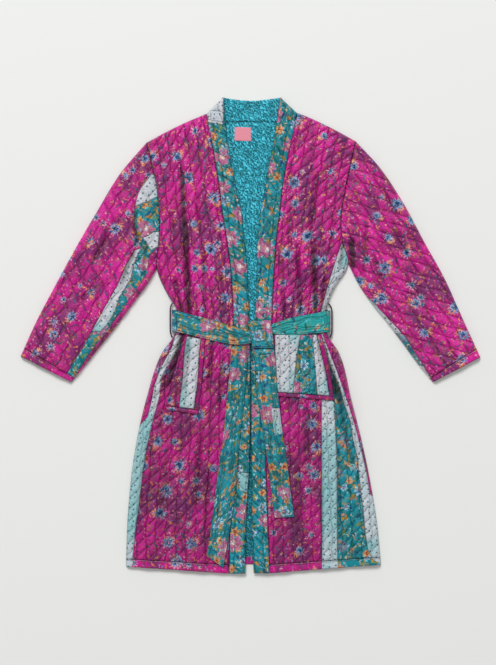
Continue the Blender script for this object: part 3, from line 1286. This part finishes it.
def make_materials():
    """Every cloth of the coat, by name."""
    colours = bpy.context.scene.coat_colours
    made = {}
    silk = (1.0, 0.92, 0.96, 1.0)
    white = (1.0, 1.0, 1.0, 1.0)

    # Printed plain-weave silk, hand quilted over cotton: soft sheen, crinkled along its stitch lines
    made["patchwork"], tree, shader = new_material(MATERIALS["patchwork"], 0.38, 0.03, silk)
    place, warped = cloth_place(tree)
    height, shade = stitching(tree)
    height, shade = seam_shade(tree, height, soften_on_pale(tree, shade), ("floral", "pale"))
    finish_cloth(tree, shader, patchwork(tree, place, warped, colours), height, shade, place)

    # The same silk turned over the edges as a binding, sewn down by a row of machine stitches
    made["binding"], tree, shader = new_material(MATERIALS["binding"], 0.38, 0.03, silk)
    place, warped = cloth_place(tree)
    height, shade = sewn_row(tree, 2.8, 0.6, 1.2)
    finish_cloth(tree, shader, patchwork(tree, place, warped, colours), height, shade, place,
                 crinkle=0.4, bump=0.0010)

    # The belt's silk: not quilted, its wadding lightly puckered, with two wandering lengthwise folds
    made["belt"], tree, shader = new_material(MATERIALS["belt"], 0.38, 0.03, silk)
    place, warped = cloth_place(tree)
    printed = mixed(tree, in_patch(tree, "pale"), print_teal(tree, place, warped, colours),
                    print_pale(tree, place, warped, colours))
    height, shade = sewn_row(tree, 3.2, 0.78, 2.0)
    wander = cloudy(tree, place, 0.017, 1.0)
    for depth, dark in ((22.0, 0.55), (32.0, 0.66)):
        fold = calc(tree, "MULTIPLY_ADD", stored(tree, "sewn"), MM, calc(tree, "MULTIPLY", wander, -depth))
        fold = calc(tree, "ABSOLUTE", fold)
        sunk = span(tree, fold, 0.0, 3.6, -1.2, 0.0, interpolation_type="SMOOTHSTEP")
        height = calc(tree, "ADD", height, sunk)
        shade = calc(tree, "MULTIPLY", shade, span(tree, fold, 0.2, 2.0, dark, 1.0))
    finish_cloth(tree, shader, printed, height, shade, place, crinkle=1.3, bump=0.0014)

    # Turquoise silk lining quilted by hand in short wandering rows, lighter on the ridges
    made["lining"], tree, shader = new_material(MATERIALS["lining"], 0.45, 0.06, silk)
    place, warped = cloth_place(tree)
    wave = add(tree, "TexWave", {"Vector": warped, "Scale": 0.072, "Distortion": 9.0, "Detail": 2.5,
                                 "Detail Scale": 1.6}, out="Fac", bands_direction="DIAGONAL")
    height = calc(tree, "MULTIPLY_ADD", cloudy(tree, place, 0.28, 3.0), 0.9, wave)
    shade = span(tree, height, 0.50, 1.30, 0.26, 1.40)
    for field, full in (("hollow", 0.45), ("deep", 0.62)):
        shade = calc(tree, "MULTIPLY", shade, span(tree, stored(tree, field), at_low=1.0, at_high=full))
    crest = span(tree, height, 1.00, 1.50, 0.0, 0.34)
    colour = shaded(tree, mixed(tree, crest, colours.lining, srgb("#86D3E4")), shade)
    dress(tree, shader, colour, height, 0.0016)

    # Plain woven patch, bare: fine ribs along its length
    made["label"], tree, shader = new_material(MATERIALS["label"], 0.6, 0.1, white)
    weave = add(tree, "TexWave", {"Vector": cloth_place(tree)[0], "Scale": 0.35, "Distortion": 0.4},
                out="Fac", bands_direction="X")
    colour = shaded(tree, colours.label, span(tree, weave, at_low=0.88, at_high=1.0))
    tree.links.new(colour, shader.inputs["Base Color"])

    # Dark cotton thread, twisted: a dull two-tone spiral
    made["thread"], tree, shader = new_material(MATERIALS["thread"], 0.7, 0.1, white)
    spot = add(tree, "TexCoord", out="Object")
    twist = add(tree, "TexWave", {"Vector": spot, "Scale": 160.0}, out="Fac", bands_direction="DIAGONAL")
    tree.links.new(mixed(tree, twist, srgb("#2E1030"), srgb("#4A2148")), shader.inputs["Base Color"])
    return made


def cloths():
    """The coat's materials, made once."""
    if MATERIALS["patchwork"] not in bpy.data.materials:
        return make_materials()
    return {key: bpy.data.materials[name] for key, name in MATERIALS.items()}


# Seams between two patches of one panel, top to bottom
STRIP_SEAM = ((0.160, -0.010), (0.176, -0.080), (0.184, -0.150), (0.191, -0.300), (0.191, -0.540))
SIDE_SEAM = ((0.140, 0.010), (0.159, -0.031), (0.178, -0.077), (0.193, -0.111), (0.204, -0.149),
             (0.2195, -0.194), (0.225, -0.232), (0.235, -0.270), (0.238, -0.308), (0.242, -0.346),
             (0.247, -0.384), (0.252, -0.441), (0.257, -0.471), (0.267, -0.490), (0.290, -0.506),
             (0.320, -0.506))
SLEEVE_TOP_SEAM = ((-0.190, 0.308), (-0.202, 0.303), (-0.253, 0.281))
SLEEVE_SEAM = ((-0.257, 0.152), (-0.261, 0.125), (-0.287, 0.083), (-0.298, 0.049), (-0.313, 0.023),
               (-0.329, 0.007), (-0.347, 0.008))
POCKET_SEAM = ((0.112, 0.012), (0.102, -0.040), (0.098, -0.080), (0.092, -0.140))
POCKET_SIDE_SEAM = ((0.148, -0.146), (0.142, -0.080), (0.134, 0.012))
# Patches of other silk: panel, cloth, corners in plan
PATCHES = (
    ("band_left", "pale", ((-0.110, 0.540), (-0.059, 0.540), (-0.060, 0.462), (-0.110, 0.468))),
    ("band_left", "pale", ((-0.030, -0.300), (-0.004, -0.303), (-0.006, -0.345), (-0.024, -0.342))),
    ("tail_right", "pale", ((0.046, -0.160), (0.070, -0.160), (0.074, -0.214), (0.052, -0.220))),
    ("front_left", "pale", ((-0.150, 0.000), (-0.156, -0.030), (-0.184, -0.073), (-0.195, -0.095),
                            (-0.199, -0.134), (-0.212, -0.178), (-0.220, -0.213), (-0.228, -0.251),
                            (-0.237, -0.308), (-0.245, -0.376), (-0.252, -0.422), (-0.261, -0.520),
                            (-0.300, -0.520), (-0.280, -0.240), (-0.226, -0.180), (-0.218, -0.150),
                            (-0.210, -0.110), (-0.196, -0.072), (-0.172, -0.028), (-0.165, 0.000))),
    ("front_right", "pale", ((0.154, -0.010), (0.156, -0.120), (0.156, -0.300), (0.157, -0.540),
                             *STRIP_SEAM[::-1])),
    ("front_right", "pale", (*SIDE_SEAM, (0.300, -0.372), (0.262, -0.350), (0.256, -0.308),
                             (0.247, -0.270), (0.230, -0.202), (0.213, -0.149), (0.195, -0.096),
                             (0.175, -0.043), (0.154, 0.010))),
    ("front_right", "floral", (*STRIP_SEAM, (0.320, -0.540), *SIDE_SEAM[::-1])),
    ("front_right", "pale", ((0.200, 0.202), (0.176, 0.130), (0.158, 0.066), (0.150, 0.040),
                             (0.200, 0.040), (0.230, 0.160))),
    ("sleeve_left", "pale", ((-0.190, 0.345), (-0.217, 0.352), (-0.240, 0.322), (-0.247, 0.307),
                             *SLEEVE_TOP_SEAM[::-1])),
    ("sleeve_left", "floral", (*SLEEVE_TOP_SEAM, (-0.255, 0.239), (-0.247, 0.208), (-0.240, 0.190),
                               *SLEEVE_SEAM, (-0.367, -0.027), (-0.404, -0.087), (-0.412, -0.102),
                               (-0.386, -0.106), (-0.378, -0.080), (-0.348, -0.034), (-0.313, 0.011),
                               (-0.291, 0.042), (-0.260, 0.087), (-0.241, 0.114), (-0.226, 0.136),
                               (-0.221, 0.174), (-0.205, 0.192), (-0.190, 0.198))),
    ("sleeve_left", "pale", ((-0.240, 0.190), (-0.253, 0.186), (-0.272, 0.152), (-0.291, 0.110),
                             (-0.321, 0.057), (-0.340, 0.023), *SLEEVE_SEAM[::-1])),
    ("sleeve_left", "pale", ((-0.236, 0.213), (-0.224, 0.217), (-0.214, 0.225), (-0.190, 0.228),
                             (-0.190, 0.196), (-0.205, 0.192), (-0.218, 0.186))),
    ("sleeve_right", "pale", ((0.262, 0.079), (0.282, 0.057), (0.306, 0.031), (0.323, 0.0135),
                              (0.332, 0.003), (0.305, 0.003), (0.270, 0.050), (0.250, 0.079))),
    ("sleeve_right", "floral", ((0.332, 0.003), (0.341, -0.006), (0.354, -0.030), (0.3755, -0.060),
                                (0.378, -0.066), (0.350, -0.066), (0.305, 0.003))),
    ("sleeve_right", "pale", ((0.378, -0.066), (0.384, -0.078), (0.3975, -0.095), (0.400, -0.106),
                              (0.380, -0.106), (0.350, -0.066))),
    ("pocket_left", "pale", ((-0.104, 0.012), (-0.110, -0.030), (-0.114, -0.100), (-0.124, -0.162),
                             (-0.156, -0.160), (-0.148, -0.090), (-0.144, -0.030), (-0.136, 0.012))),
    ("pocket_right", "pale", ((0.050, 0.012), (0.050, -0.140), *POCKET_SEAM[::-1])),
    ("pocket_right", "floral", (*POCKET_SEAM, *POCKET_SIDE_SEAM)),
    ("pocket_right", "pale", (*POCKET_SIDE_SEAM[::-1], (0.190, -0.150), (0.178, -0.080), (0.160, 0.012))),
)


def patch_fields(panel, floral=-NO_PATCH, crease=None):
    """For each cloth, the largest signed distance to the panel's patches; and how hollow each point lies."""

    def field(cloth, base):
        def read(points):
            best = np.full(points.shape[:-1], base)
            for name, kind, loop in PATCHES:
                if name == panel and kind == cloth:
                    best = np.maximum(best, signed(points, loop))
            return best
        return read

    made = {"pale": field("pale", -NO_PATCH), "floral": field("floral", floral)}
    if crease:
        made["hollow"] = lambda points: np.clip(-ridges(CREASES, crease, points) / 0.008, 0.0, 1.0)
    return made


class COAT_OT_back(bpy.types.Operator):
    """Make the back, its hem binding and the band behind the neck"""

    bl_idname = "coat.back"
    bl_label = "Back"

    def execute(self, context):
        cloth = cloths()
        sizes = context.scene.coat_sizes
        pattern = PIECES["back"]

        def surface(points):
            return lift(points), points[..., 0] * 0.0

        both = (cloth["lining"], cloth["patchwork"])
        box = (0.0, 0.0, HEM_BIND + GAP, pattern.length - BACK_INSET)
        back = shell("back_panel", pattern, box, surface, both, step=sizes.step * 1.8,
                     slant=SLANT["back"], fields=patch_fields("back"))
        seated(back, "back", "lining", pattern, box, rests_on=["belt_under"])
        box = (0.0, 0.0, 0.0, HEM_BIND)
        hem = shell("back_hem", pattern, box, surface, (cloth["binding"],), offset=(0.3, 0.1),
                    sewn=("top",))
        seated(hem, "hem_back", "binding", pattern, box)
        neck = PIECES["neck"]
        box = neck.whole()

        def overlap(points):
            bottom = lift(points) + NECK_LAP * ease((NECK_LAP_Y - points[..., 1]) / 0.005)
            return bottom, points[..., 0] * 0.0

        band = shell("neck_band", neck, box, overlap, both, slant=SLANT["neck"], puff=0.5 * sizes.puff,
                     step=0.8 * sizes.step, offset=(0.7, 0.2), fields=patch_fields("neck"))
        seated(band, "band_back", "lining", neck, box)
        return {"FINISHED"}


def front_surface(panel):
    """Bottom of a front's cloth over the back, and the surface under its rolled edge."""

    def surface(points):
        floor = lift(points)
        return floor + WALL + AIR + relief(panel, points), floor
    return surface


class COAT_OT_fronts(bpy.types.Operator):
    """Make the two quilted fronts and their hem bindings"""

    bl_idname = "coat.fronts"
    bl_label = "Fronts"

    def execute(self, context):
        cloth = cloths()
        sizes = context.scene.coat_sizes
        for side, offset in (("left", (0.0, 0.0)), ("right", (1.3, 0.4))):
            panel = "front_" + side
            pattern = PIECES[panel]
            box = (0.0, 0.0, HEM_BIND + GAP, pattern.length)
            rolled = {"right": (0.0, pattern.armpit), "top": (pattern.length, pattern.length)}
            piece = shell(panel + "_cloth", pattern, box, front_surface(panel),
                          (cloth["patchwork"], cloth["lining"]), rolled=rolled, slant=SLANT[panel],
                          puff=sizes.puff, fields=patch_fields(panel, crease=panel), offset=offset)
            seated(piece, panel, "silk_magenta", pattern, box, rests_on=["back_panel"])
            box = (0.0, 0.0, 0.0, HEM_BIND)
            hem = shell("hem_" + side + "_binding", pattern, box, front_surface(panel),
                        (cloth["binding"],), rolled={"right": (0.0, HEM_BIND)}, offset=offset, sewn=("top",),
                        fields={**patch_fields(panel, crease=panel), **UNDYED})
            seated(hem, "hem_" + side, "binding", pattern, box, rests_on=["back_hem"])
        return {"FINISHED"}


class COAT_OT_bands(bpy.types.Operator):
    """Make the two front bands"""

    bl_idname = "coat.bands"
    bl_label = "Front bands"

    def execute(self, context):
        cloth = cloths()
        sizes = context.scene.coat_sizes
        for side, offset in (("left", (0.0, 0.0)), ("right", (0.21, 0.33))):
            panel = "band_" + side
            pattern = PIECES[panel]
            box = pattern.whole()
            rolled = {"top": (pattern.length, pattern.length),
                      "left": (pattern.length - 0.018, pattern.length)}
            piece = shell(panel + "_cloth", pattern, box, front_surface("front_" + side),
                          (cloth["patchwork"], cloth["lining"]), rolled=rolled, slant=SLANT[panel],
                          puff=0.8 * sizes.puff, step=0.75 * sizes.step, offset=offset,
                          fields=patch_fields(panel, NO_PATCH, "front_" + side))
            seated(piece, panel, "silk_teal", pattern, box, rests_on=["back_panel"])
        return {"FINISHED"}


class COAT_OT_sleeves(bpy.types.Operator):
    """Make the two sleeves and their cuffs"""

    bl_idname = "coat.sleeves"
    bl_label = "Sleeves"

    def execute(self, context):
        cloth = cloths()
        sizes = context.scene.coat_sizes
        for side, offset in (("left", (2.1, 0.2)), ("right", (3.3, 0.5))):
            panel = "sleeve_" + side
            pattern = PIECES[panel]
            seam = pattern.seam

            def top_surface(points):
                distance = np.full(points.shape[:-1], 1e9)
                for x, y in seam[::12]:
                    distance = np.minimum(distance, np.hypot(points[..., 0] - x, points[..., 1] - y))
                loft = SLEEVE_LOFT * ease(distance / 0.08)
                return LAYER + loft + relief(panel, points)

            end = pattern.length - CUFF_BIND
            box = (0.0, 0.0, 0.0, end - GAP)
            piece = tube(panel + "_cloth", pattern, box, top_surface,
                         (cloth["patchwork"], cloth["lining"]), slant=SLANT[panel], puff=sizes.puff,
                         fields=patch_fields(panel, crease=panel), offset=offset)
            linked(piece, panel, slot="silk_magenta")
            binding = (0.0, 0.0, end, pattern.length)
            cuff = tube("cuff_" + side + "_binding", pattern, binding, top_surface, (cloth["binding"],),
                        offset=offset)
            linked(cuff, "cuff_" + side, slot="binding")
            for item, part in ((piece, box), (cuff, binding)):
                width, length = pattern.flat(part)
                2.0 * pattern.area(part)
        return {"FINISHED"}


def over(clear):
    """Bottom of a piece that lies on the fronts, which is also its floor."""

    def surface(points):
        base = ground(points) + clear
        return base, base * 0.0
    return surface


class COAT_OT_pockets(bpy.types.Operator):
    """Make the two patch pockets and their bindings"""

    bl_idname = "coat.pockets"
    bl_label = "Pockets"

    def execute(self, context):
        cloth = cloths()
        sizes = context.scene.coat_sizes
        for side, edge in (("left", "near"), ("right", "far")):
            panel = "pocket_" + side
            pattern = PIECES[panel]
            bound = POCKET_BIND + GAP
            near, far = (bound, 0.0) if edge == "near" else (0.0, bound)
            box = (near, far, bound, pattern.length)
            piece = shell(panel + "_cloth", pattern, box, over(CLEAR), (cloth["patchwork"],),
                          slant=SLANT[panel], puff=0.8 * sizes.puff, fields=patch_fields(panel, crease=panel),
                          offset=(4.0, 0.7))
            seated(piece, panel, "silk_pale", pattern, box, rests_on=["front_" + side + "_cloth"])
            strip = (0.0, 0.0, 0.0, POCKET_BIND)
            low = shell(panel + "_low_binding", pattern, strip, over(CLEAR), (cloth["binding"],),
                        thick=WALL + TURNED, offset=(4.4, 0.1), fields=UNDYED)
            linked(low, "pocket_binding_" + side, slot="binding")
            pattern.flat(strip)[0]
            v = np.linspace(bound, pattern.length, 60)
            width = pattern.width(v)
            if edge == "near":
                first, second = np.zeros_like(v), np.full_like(v, POCKET_BIND)
            else:
                first, second = width - POCKET_BIND, width
            tall = Pattern(pattern.plan(first, v), pattern.plan(second, v))
            rise = shell(panel + "_side_binding", tall, tall.whole(), over(CLEAR), (cloth["binding"],),
                         thick=WALL + TURNED, offset=(4.6, 0.1), fields=UNDYED)
            linked(rise, "pocket_binding_" + side, slot="binding")
        return {"FINISHED"}


class COAT_OT_belt(bpy.types.Operator):
    """Make the belt's runs, its knot, its two tails and its loops"""

    bl_idname = "coat.belt"
    bl_label = "Belt"

    def execute(self, context):
        cloth = cloths()
        sizes = context.scene.coat_sizes
        step = 0.8 * sizes.step
        for side, offset in (("left", (5.0, 0.13)), ("right", (5.3, 0.41))):
            pattern = PIECES["belt_" + side]
            box = pattern.whole()
            run = shell("belt_" + side + "_run", pattern, box, over(CLEAR), (cloth["belt"],),
                        rolled={"bottom": (0.0, 0.0)}, thick=BELT_THICK, step=step, offset=offset,
                        turn=math.pi / 2.0, fields={
                            **patch_fields("belt_" + side, NO_PATCH),
                            "rose": lambda points: np.where(points[..., 0] < 0.0, 1.0, 0.0)})
            seated(run, "belt_" + side, "silk_teal", pattern, box, held="folded")
        under_left = BELT_LEFT[0][1] + BELT_THICK + 2.0 * SEAM
        under_right = BELT_RIGHT[0][1] - BELT_THICK - 2.0 * SEAM
        high, low = BELT_Y + BELT_HALF, BELT_Y - BELT_HALF
        pattern = pattern_from_rows((("left", under_left, low, under_left, high),
                                     ("right", under_right, low, under_right, high)))
        box = pattern.whole()
        beneath = shell("belt_run_beneath", pattern, box, lambda points: (points[..., 0] * 0.0,) * 2,
                        (cloth["belt"],), step=2.0 * step, offset=(5.6, 0.0),
                        fields=patch_fields("belt_under", NO_PATCH))
        seated(beneath, "belt_under", "silk_teal", pattern, box)

        def raised(points):
            base = ground(points) + CLEAR
            drop = 1.0 - ease((KNOT_LOW - points[..., 1]) / KNOT_DROP)
            return base + KNOT_RISE * drop, base

        pattern = PIECES["knot"]
        box = pattern.whole()
        wrap = shell("knot_wrap", pattern, box, raised, (cloth["belt"],),
                     rolled={"bottom": (0.0, 0.0)}, thick=TAIL_THICK, step=step, offset=(6.0, 0.0),
                     fields=patch_fields("knot", NO_PATCH))
        seated(wrap, "knot", "silk_teal", pattern, box, held="folded")
        for side, surface, offset in (("left", over(CLEAR), (6.2, 0.3)), ("right", raised, (6.0, 0.06))):
            pattern = PIECES["tail_" + side]
            box = pattern.whole()
            tail = shell("tail_" + side + "_cloth", pattern, box, surface, (cloth["belt"],),
                         thick=TAIL_THICK, step=step, offset=offset,
                         fields=patch_fields("tail_" + side, NO_PATCH))
            seated(tail, "tail_" + side, "silk_teal", pattern, box)
        for side, high_y, bend_x, low_y in LOOPS:
            loop_piece(side, high_y, bend_x, low_y, cloth["thread"])
        return {"FINISHED"}


def loop_piece(side, high_y, bend_x, low_y, material):
    """A thread loop: a round section carried along a path that bows outside the belt."""
    front = PIECES["front_" + side]
    share = np.linspace(-1.0, 1.0, LOOP_STEPS)
    outward = math.copysign(1.0, bend_x)
    clear = outward * (LOOP_THICK / 2.0 + GAP)
    y = (high_y + low_y) / 2.0 + (high_y - low_y) * share / 2.0
    seat = outward * (LOOP_THICK / 2.0)
    ends = np.interp([low_y, high_y], front.second[:, 1], front.second[:, 0]) + seat
    straight = ends[0] + (ends[1] - ends[0]) * (share + 1.0) / 2.0
    bow = 1.0 - share ** 6
    x = straight + (bend_x + clear - straight) * bow
    z = lift(np.stack([straight, y], 1)) + LOOP_THICK * 0.6 + LAYER * 0.3 * bow
    path = np.stack([x, y, z], 1)
    ahead = np.gradient(path, axis=0)
    ahead /= np.linalg.norm(ahead, axis=1, keepdims=True)
    sideways = np.cross(ahead, np.array([0.0, 0.0, 1.0]))
    sideways /= np.linalg.norm(sideways, axis=1, keepdims=True)
    upward = np.cross(sideways, ahead)
    turn = np.linspace(0.0, 2.0 * math.pi, LOOP_SIDES, endpoint=False)
    ring = path[:, None, :] + LOOP_THICK / 2.0 * (
        np.cos(turn)[None, :, None] * sideways[:, None, :] + np.sin(turn)[None, :, None] * upward[:, None, :])
    points = np.concatenate([ring.reshape(-1, 3), path[:1], path[-1:]])
    caps_at = LOOP_STEPS * LOOP_SIDES
    index = np.arange(caps_at).reshape(LOOP_STEPS, LOOP_SIDES)
    after = np.roll(index, -1, axis=1)
    sides = np.stack([index[:-1], after[:-1], after[1:], index[1:]], -1).reshape(-1, 4)
    mesh = bpy.data.meshes.new("loop_" + side + "_thread")
    caps = [(a, b, caps_at) for a, b in zip(after[0].tolist(), index[0].tolist())]
    caps += [(a, b, caps_at + 1) for a, b in zip(index[-1].tolist(), after[-1].tolist())]
    mesh.from_pydata(points.tolist(), [], sides.tolist() + caps)
    mesh.materials.append(material)
    mesh.shade_smooth()
    return linked(placed(mesh.name, mesh), "loop_" + side, slot="cord")


class COAT_OT_label(bpy.types.Operator):
    """Make the plain patch behind the neck"""

    bl_idname = "coat.label"
    bl_label = "Label"

    def execute(self, context):
        pattern = PIECES["label"]

        def surface(points):
            base = lift(points) + WALL + GAP
            return base, base

        patch = shell("neck_patch", pattern, pattern.whole(), surface, (cloths()["label"],),
                      thick=LABEL_THICK, step=0.5 * context.scene.coat_sizes.step, seam_round=LABEL_THICK)
        linked(patch, "label", slot="label")
        pattern.flat(pattern.whole())
        return {"FINISHED"}


class COAT_OT_stage(bpy.types.Operator):
    """Make the pale floor, the soft light and the camera straight above"""

    bl_idname = "coat.stage"
    bl_label = "Floor, light and camera"

    def execute(self, context):
        scene = context.scene
        mesh = bpy.data.meshes.new("floor")
        corners = ((-1.0, -1.0), (1.0, -1.0), (1.0, 1.0), (-1.0, 1.0))
        mesh.from_pydata([(FLOOR_REACH * x, FLOOR_REACH * y, 0.0) for x, y in corners], [], [(0, 1, 2, 3)])
        floor = placed("floor", mesh)
        floor.location = (0.0, 0.0, -FLOOR_DROP)
        material = bpy.data.materials.new("matt_paper")
        material.use_nodes = True
        shader = material.node_tree.nodes["Principled BSDF"]
        shader.inputs["Base Color"].default_value = srgb("#EFF0ED")
        shader.inputs["Roughness"].default_value = 0.9
        mesh.materials.append(material)

        world = bpy.data.worlds.new("soft_room")
        world.use_nodes = True
        background = world.node_tree.nodes["Background"]
        background.inputs[0].default_value = (1.0, 1.0, 1.0, 1.0)
        background.inputs[1].default_value = 0.47
        scene.world = world
        light = bpy.data.lights.new("window", "AREA")
        light.shape = "SQUARE"
        light.size = 4.2
        light.energy = 960.0
        item = placed("window", light)
        item.location = (-2.2, 8.0, 8.6)
        item.rotation_euler = Vector((-2.2, 8.0, 8.6)).to_track_quat("Z", "Y").to_euler()
        scene.view_settings.view_transform = "Standard"

        camera = bpy.data.cameras.new("camera")
        camera.sensor_fit = "AUTO"
        camera.sensor_width = SENSOR
        camera.lens = SENSOR * CAMERA_HEIGHT / (PHOTO_HEIGHT * PIXEL)
        scene.camera = placed("camera", camera)
        scene.camera.location = (-2.5 * PIXEL, 2.5 * PIXEL, CAMERA_HEIGHT)
        return {"FINISHED"}


class COAT_PT_panel(bpy.types.Panel):
    """Sizes, colours and the pieces of the coat"""

    bl_label = "Quilted coat"
    bl_idname = "COAT_PT_panel"
    bl_space_type = "VIEW_3D"
    bl_region_type = "UI"
    bl_category = "Coat"

    def draw(self, context):
        layout = self.layout
        for group in (context.scene.coat_sizes, context.scene.coat_colours):
            for name in group.__annotations__:
                layout.prop(group, name)
        for operator in OPERATORS:
            layout.operator(operator.bl_idname)


OPERATORS = (COAT_OT_stage, COAT_OT_back, COAT_OT_fronts, COAT_OT_bands, COAT_OT_sleeves,
             COAT_OT_pockets, COAT_OT_belt, COAT_OT_label)
CLASSES = (CoatSizes, CoatColours) + OPERATORS + (COAT_PT_panel,)


def register():
    for item in CLASSES:
        bpy.utils.register_class(item)
    bpy.types.Scene.coat_sizes = PointerProperty(type=CoatSizes)
    bpy.types.Scene.coat_colours = PointerProperty(type=CoatColours)


def unregister():
    del bpy.types.Scene.coat_colours
    del bpy.types.Scene.coat_sizes
    for item in reversed(CLASSES):
        bpy.utils.unregister_class(item)


def main():
    register()
    for name in ("stage", "back", "fronts", "bands", "sleeves", "pockets", "belt", "label"):
        getattr(bpy.ops.coat, name)()


if __name__ == "__main__":
    main()
